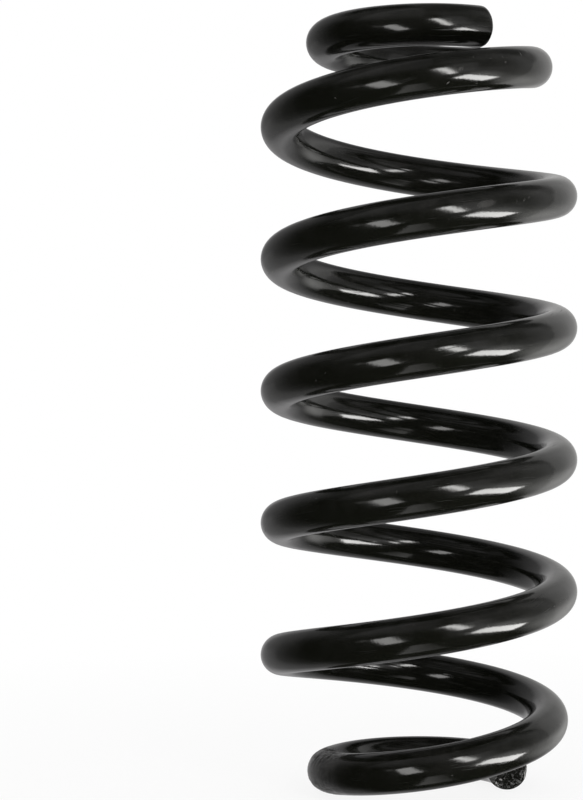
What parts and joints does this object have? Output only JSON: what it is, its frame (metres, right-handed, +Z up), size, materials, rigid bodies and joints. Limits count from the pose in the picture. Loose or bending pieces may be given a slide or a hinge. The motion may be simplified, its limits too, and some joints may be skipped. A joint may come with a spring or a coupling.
{
  "type": "suspension coil spring",
  "caption": "Compression coil spring of round wire for a vehicle's suspension, wound right-handed, with smaller pigtail coils at both ends and a gloss black coat.",
  "frame": {"origin": "on the spring's axis, at the plane that the lower seat's wire lies on", "axes": "+Z up along the spring's axis; +X from the axis to the lower cut end; the wire climbs right-handed about +Z, so the lower cut end faces -Y"},
  "size_m": [0.1092, 0.1092, 0.2666],
  "materials": {
    "coating": "gloss black coat on spring steel, with a light orange peel and a little dust"
  },
  "bodies": {
    "root": {"coil": "coating"}
  },
  "joints": []
}
